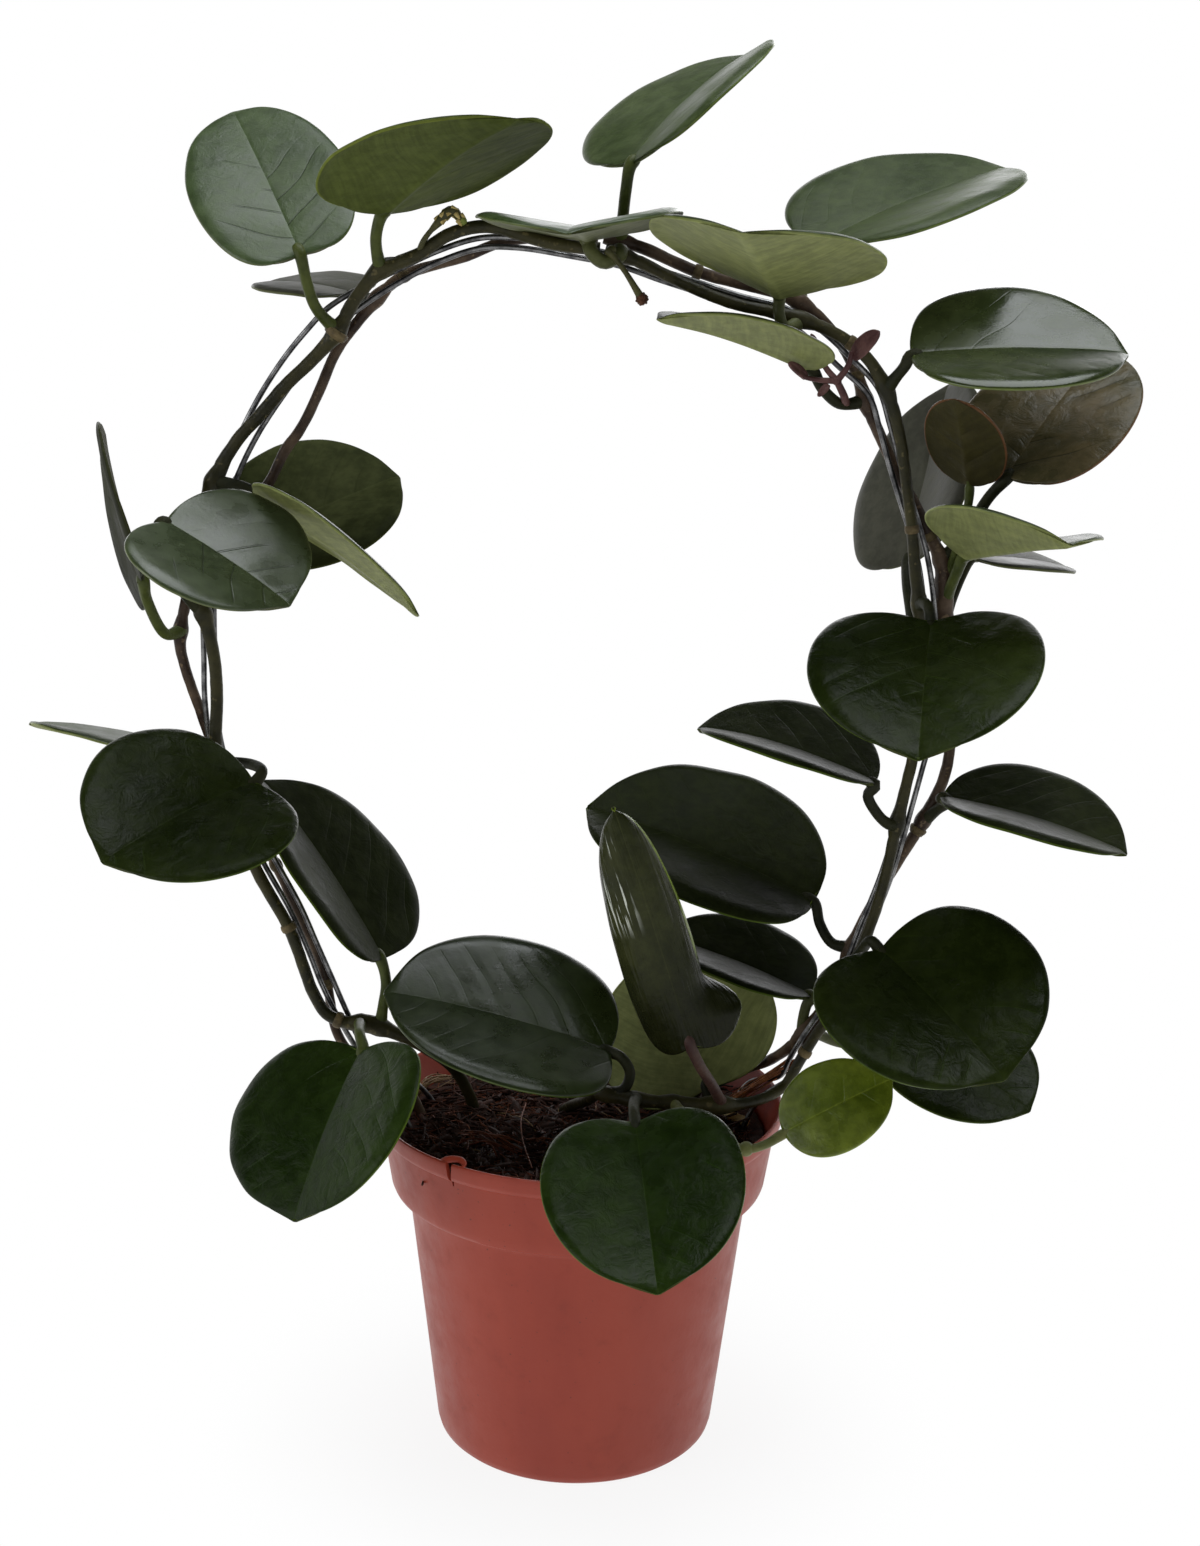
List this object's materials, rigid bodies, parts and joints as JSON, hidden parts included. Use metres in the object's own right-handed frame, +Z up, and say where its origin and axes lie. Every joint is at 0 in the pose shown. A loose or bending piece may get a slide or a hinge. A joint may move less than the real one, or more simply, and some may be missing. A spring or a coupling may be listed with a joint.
{
  "type": "potted hoya plant",
  "caption": "Leathery-leaved climbing houseplant trained round a wire hoop, standing in a plastic nursery pot of coir.",
  "frame": {"origin": "centre of the pot's underside, on the surface it stands on", "axes": "+Z up, the hoop stands in the XZ plane, -Y towards the viewer of the picture, +X to the right in it"},
  "size_m": [0.3141, 0.1615, 0.4039],
  "materials": {
    "pot_plastic": "satin terracotta plastic with a faint moulding sheen",
    "coir": "damp dark coir and bark, matt and fibrous",
    "wire": "dull galvanised",
    "vine_bark": "semi-matt green to purple-brown bark with pale nodes",
    "leaf_dark": "waxy semi-gloss, dark green, pale olive underneath",
    "leaf_pale": "matt olive underside, waxy dark green upper face",
    "leaf_grey": "waxy grey-green with a cool sheen",
    "leaf_brown": "waxy bronze-brown",
    "leaf_young": "fresh yellow-green, satin",
    "purple_shoot": "soft purple-brown, matt",
    "green_stalk": "smooth dull green",
    "dry_spur": "dry tan scales",
    "cut_twig": "pale cut wood"
  },
  "bodies": {
    "root": {"pot": "pot_plastic", "coir_soil": "coir", "hoop_wire_outer": "wire", "hoop_wire_inner": "wire", "vine_left_front": "vine_bark", "vine_left_back": "vine_bark", "vine_right_front": "vine_bark", "vine_right_back": "vine_bark", "young_shoot": "purple_shoot", "flower_stalk": "green_stalk", "scaly_spur": "dry_spur", "twig_stub": "cut_twig", "leaf_top_highest": "leaf_dark", "leaf_top_right": "leaf_dark", "leaf_right_glossy": "leaf_dark", "leaf_right_heart": "leaf_dark", "leaf_inner_right_high": "leaf_dark", "leaf_outer_right_low": "leaf_dark", "leaf_inner_right_large": "leaf_dark", "leaf_inner_right_low": "leaf_dark", "leaf_right_low_large": "leaf_dark", "leaf_right_low_behind": "leaf_dark", "leaf_upright_curled": "leaf_dark", "leaf_front_left": "leaf_dark", "leaf_front_hanging": "leaf_dark", "leaf_left_hanging": "leaf_dark", "leaf_inner_left": "leaf_dark", "leaf_left_large": "leaf_dark", "leaf_left_upper_behind": "leaf_dark", "leaf_top_left_level": "leaf_pale", "leaf_top_forward": "leaf_pale", "leaf_right_inward": "leaf_pale", "leaf_right_level": "leaf_pale", "leaf_centre_behind": "leaf_pale", "leaf_left_behind": "leaf_pale", "leaf_left_inward": "leaf_pale", "leaf_top_left_upright": "leaf_grey", "leaf_top_left_small": "leaf_grey", "leaf_top_edge_on": "leaf_grey", "leaf_right_behind": "leaf_grey", "leaf_right_level_behind": "leaf_grey", "leaf_left_glossy": "leaf_grey", "leaf_left_edge_on": "leaf_grey", "leaf_right_brown": "leaf_brown", "leaf_right_brown_small": "leaf_brown", "leaf_young_bright": "leaf_young"}
  },
  "joints": []
}
